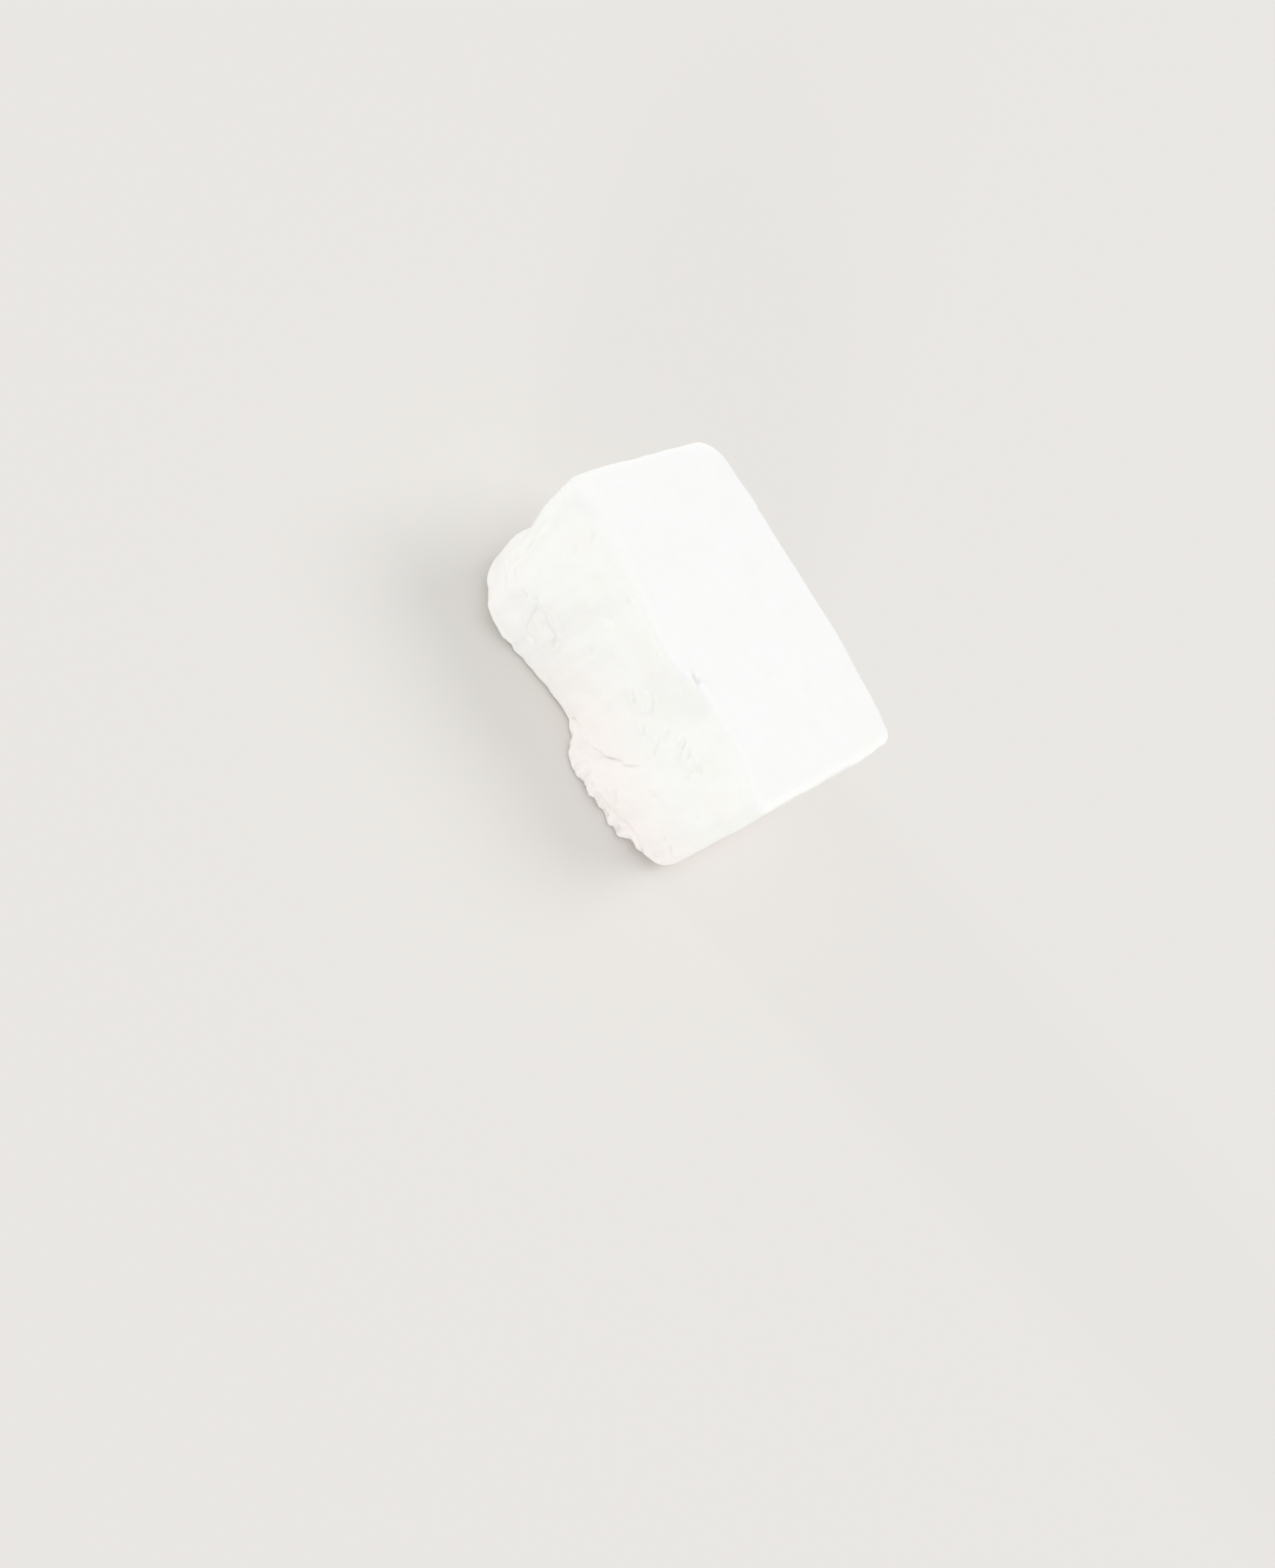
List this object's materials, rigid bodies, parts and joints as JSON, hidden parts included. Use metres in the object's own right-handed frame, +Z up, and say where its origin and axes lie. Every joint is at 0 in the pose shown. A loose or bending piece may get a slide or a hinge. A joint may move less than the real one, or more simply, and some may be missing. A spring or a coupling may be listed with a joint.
{
  "type": "double cream cheese block",
  "caption": "Hand-cut white block of double cream cheese with one smooth face, worn edges and a rough, torn side with a crumbled lip, lying flat.",
  "frame": {"origin": "middle of the bounding box on the flat underside that the block rests on", "axes": "+X along the block, -Y out of the rough, torn long side, +Z up out of the smooth large face"},
  "size_m": [0.1176, 0.0826, 0.0572],
  "materials": {
    "cheese": "moist, soft and slightly waxy white curd"
  },
  "bodies": {
    "root": {"cheese_block": "cheese"}
  },
  "joints": []
}
